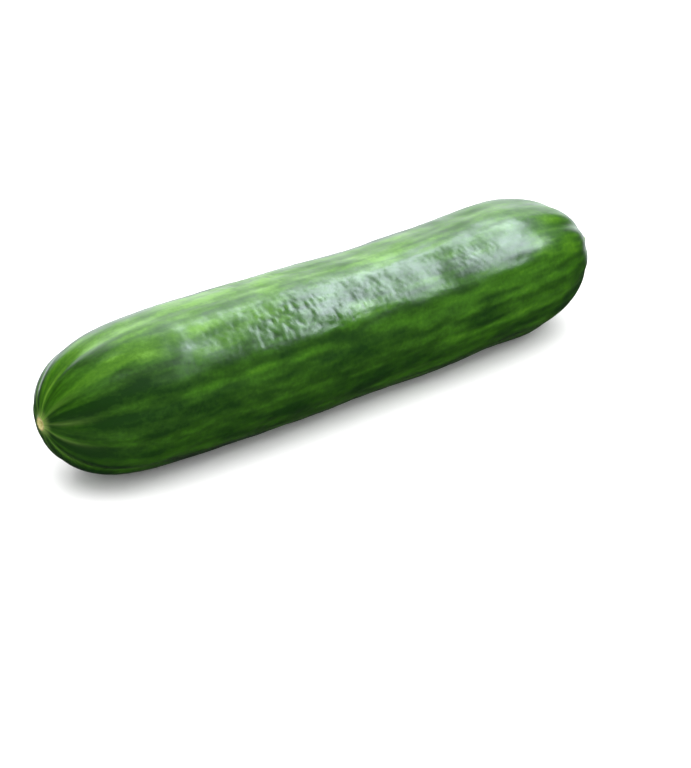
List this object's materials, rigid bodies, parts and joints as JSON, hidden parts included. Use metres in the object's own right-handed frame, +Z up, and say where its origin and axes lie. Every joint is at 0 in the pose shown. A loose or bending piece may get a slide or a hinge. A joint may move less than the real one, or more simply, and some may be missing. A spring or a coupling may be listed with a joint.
{
  "type": "cucumber",
  "caption": "Whole smooth-skinned cucumber with dark and pale green stripes, shallow lobes, a pale blossom scar and a short cut stalk stub, lying on its side.",
  "frame": {"origin": "on the surface that the fruit lies on, under the middle of its bounding box", "axes": "+X runs along the fruit from the blossom end to the stem end, +Z is up"},
  "size_m": [0.2126, 0.0484, 0.0472],
  "materials": {
    "cucumber_skin": "waxy green skin, glossy, with pale stripes"
  },
  "bodies": {
    "root": {"cucumber": "cucumber_skin"}
  },
  "joints": []
}
